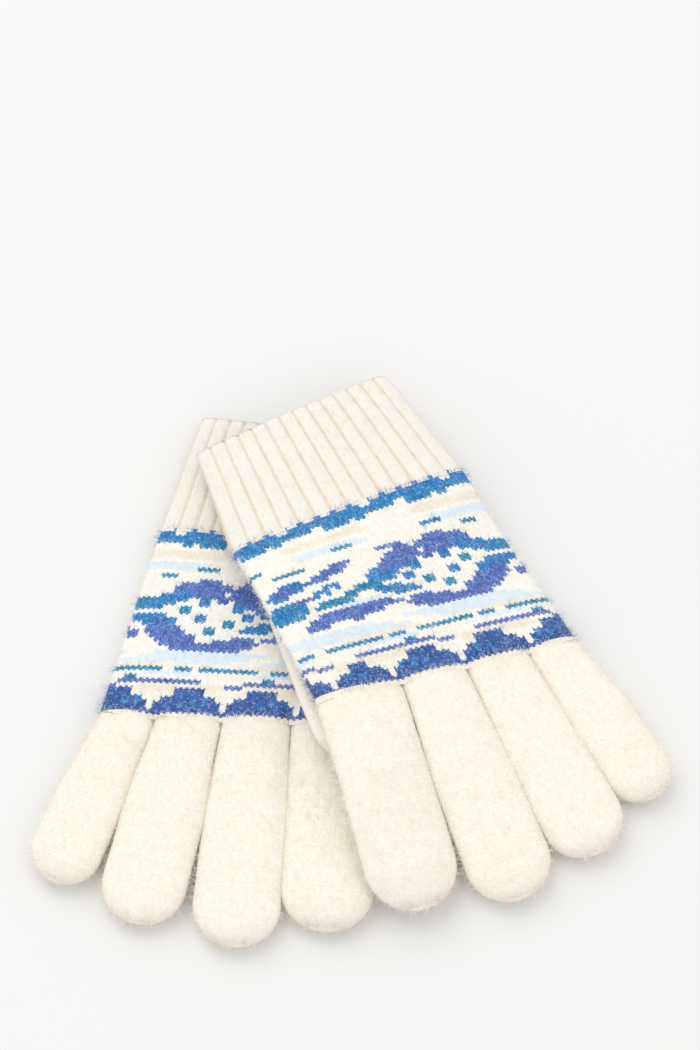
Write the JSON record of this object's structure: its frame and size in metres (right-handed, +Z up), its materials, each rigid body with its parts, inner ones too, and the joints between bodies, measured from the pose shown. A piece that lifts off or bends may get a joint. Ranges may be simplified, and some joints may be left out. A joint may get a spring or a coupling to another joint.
{
  "type": "knitted gloves",
  "caption": "Pair of knitted wool gloves with ribbed cuffs, patterned hands and plain fingers, lying palm down with one crossed over the other",
  "frame": {"origin": "on the resting surface, under the middle of the pair's bounding box", "axes": "+Z up from the resting surface, fingertips towards -Y, cuffs towards +Y, the little finger of the lower right-hand glove towards -X"},
  "size_m": [0.2296, 0.2322, 0.0345],
  "materials": {
    "ribbed_cream": "brushed rib knit",
    "patterned_knit": "brushed jacquard knit in blues and cream",
    "cream_knit": "brushed plain knit with a beige heather"
  },
  "bodies": {
    "right_glove": {"right_cuff": "ribbed_cream", "right_hand": "patterned_knit"},
    "left_glove": {"left_cuff": "ribbed_cream", "left_hand": "patterned_knit"},
    "right_index_finger_body": {"right_index_finger": "cream_knit"},
    "right_middle_finger_body": {"right_middle_finger": "cream_knit"},
    "right_ring_finger_body": {"right_ring_finger": "cream_knit"},
    "right_little_finger_body": {"right_little_finger": "cream_knit"},
    "left_index_finger_body": {"left_index_finger": "cream_knit"},
    "left_middle_finger_body": {"left_middle_finger": "cream_knit"},
    "left_ring_finger_body": {"left_ring_finger": "cream_knit"},
    "left_little_finger_body": {"left_little_finger": "cream_knit"},
    "right_thumb_body": {"right_thumb": "cream_knit"},
    "left_thumb_body": {"left_thumb": "cream_knit"}
  },
  "joints": [
    {"name": "left_glove_lifts_off", "type": "slide", "parent": "right_glove", "child": "left_glove", "axis": [0, 0, 1], "range_m": [0, 0.12]},
    {"name": "right_index_finger_curl", "type": "hinge", "parent": "right_glove", "child": "right_index_finger_body", "pos_m": [-0.00724, -0.03364, 0.0053], "axis": [0.999, -0.0436, 0], "range_deg": [0, 70]},
    {"name": "right_middle_finger_curl", "type": "hinge", "parent": "right_glove", "child": "right_middle_finger_body", "pos_m": [-0.03631, -0.03237, 0.0053], "axis": [0.999, -0.0436, 0], "range_deg": [-20, 70]},
    {"name": "right_ring_finger_curl", "type": "hinge", "parent": "right_glove", "child": "right_ring_finger_body", "pos_m": [-0.06159, -0.03127, 0.0053], "axis": [0.999, -0.0436, 0], "range_deg": [-20, 70]},
    {"name": "right_little_finger_curl", "type": "hinge", "parent": "right_glove", "child": "right_little_finger_body", "pos_m": [-0.08442, -0.03027, 0.0053], "axis": [0.999, -0.0436, 0], "range_deg": [-20, 70]},
    {"name": "left_index_finger_curl", "type": "hinge", "parent": "left_glove", "child": "left_index_finger_body", "pos_m": [0.00221, -0.03016, 0.02589], "axis": [0.9211, 0.3353, -0.1978], "range_deg": [-20, 0]},
    {"name": "left_middle_finger_curl", "type": "hinge", "parent": "left_glove", "child": "left_middle_finger_body", "pos_m": [0.02956, -0.02021, 0.02002], "axis": [0.9211, 0.3353, -0.1978], "range_deg": [-20, 70]},
    {"name": "left_ring_finger_curl", "type": "hinge", "parent": "left_glove", "child": "left_ring_finger_body", "pos_m": [0.05333, -0.01156, 0.01492], "axis": [0.9211, 0.3353, -0.1978], "range_deg": [-20, 70]},
    {"name": "left_little_finger_curl", "type": "hinge", "parent": "left_glove", "child": "left_little_finger_body", "pos_m": [0.0748, -0.00374, 0.01031], "axis": [0.9211, 0.3353, -0.1978], "range_deg": [-20, 70]},
    {"name": "right_thumb_curl", "type": "hinge", "parent": "right_glove", "child": "right_thumb_body", "pos_m": [0.01418, 0.02748, 0.0044], "axis": [0.0436, 0.999, 0], "range_deg": [0, 50]},
    {"name": "left_thumb_swing", "type": "hinge", "parent": "left_glove", "child": "left_thumb_body", "pos_m": [-0.02329, 0.00525, 0.02248], "axis": [-0.1858, -0.0676, -0.9803], "range_deg": [0, 55]}
  ]
}
